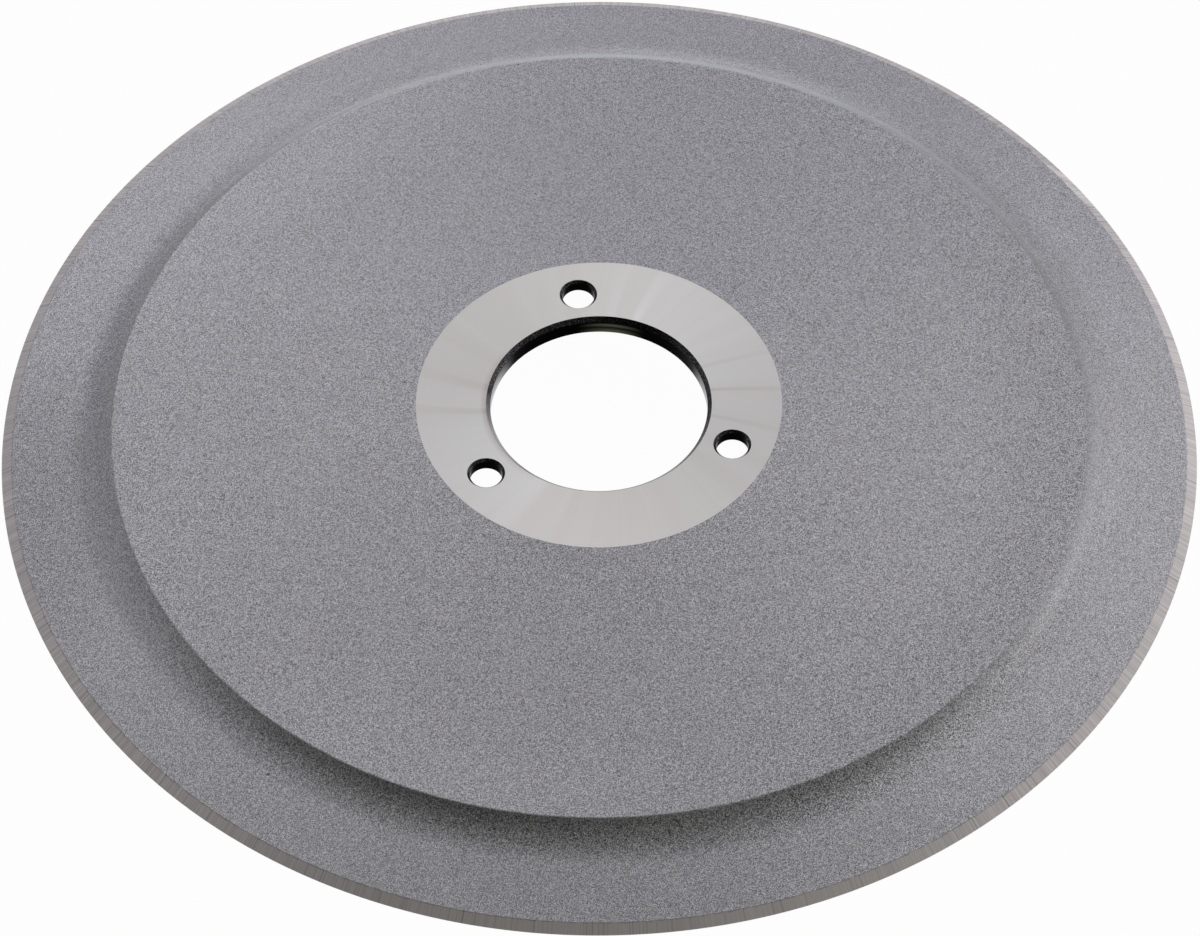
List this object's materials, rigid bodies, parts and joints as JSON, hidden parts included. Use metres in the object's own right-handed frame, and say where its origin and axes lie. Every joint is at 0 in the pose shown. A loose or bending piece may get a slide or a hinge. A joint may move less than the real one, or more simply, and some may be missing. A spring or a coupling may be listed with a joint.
{
  "type": "food slicer blade",
  "caption": "Round dished slicer knife with a stepped rim, a ground cutting bevel and a ground hub ring with a bore and screw holes.",
  "frame": {"origin": "centre of the blade in the plane of its product face, which is the lowest face when it lies hub upwards", "axes": "+Z along the bore axis from the product face to the hub; +Y through the centre of the first screw hole"},
  "size_m": [0.315, 0.315, 0.02],
  "materials": {
    "blade_steel": "fine blasted grey web and rim, with a turned bright hub ring and a ground bright cutting bevel"
  },
  "bodies": {
    "root": {"slicer_blade": "blade_steel"}
  },
  "joints": []
}
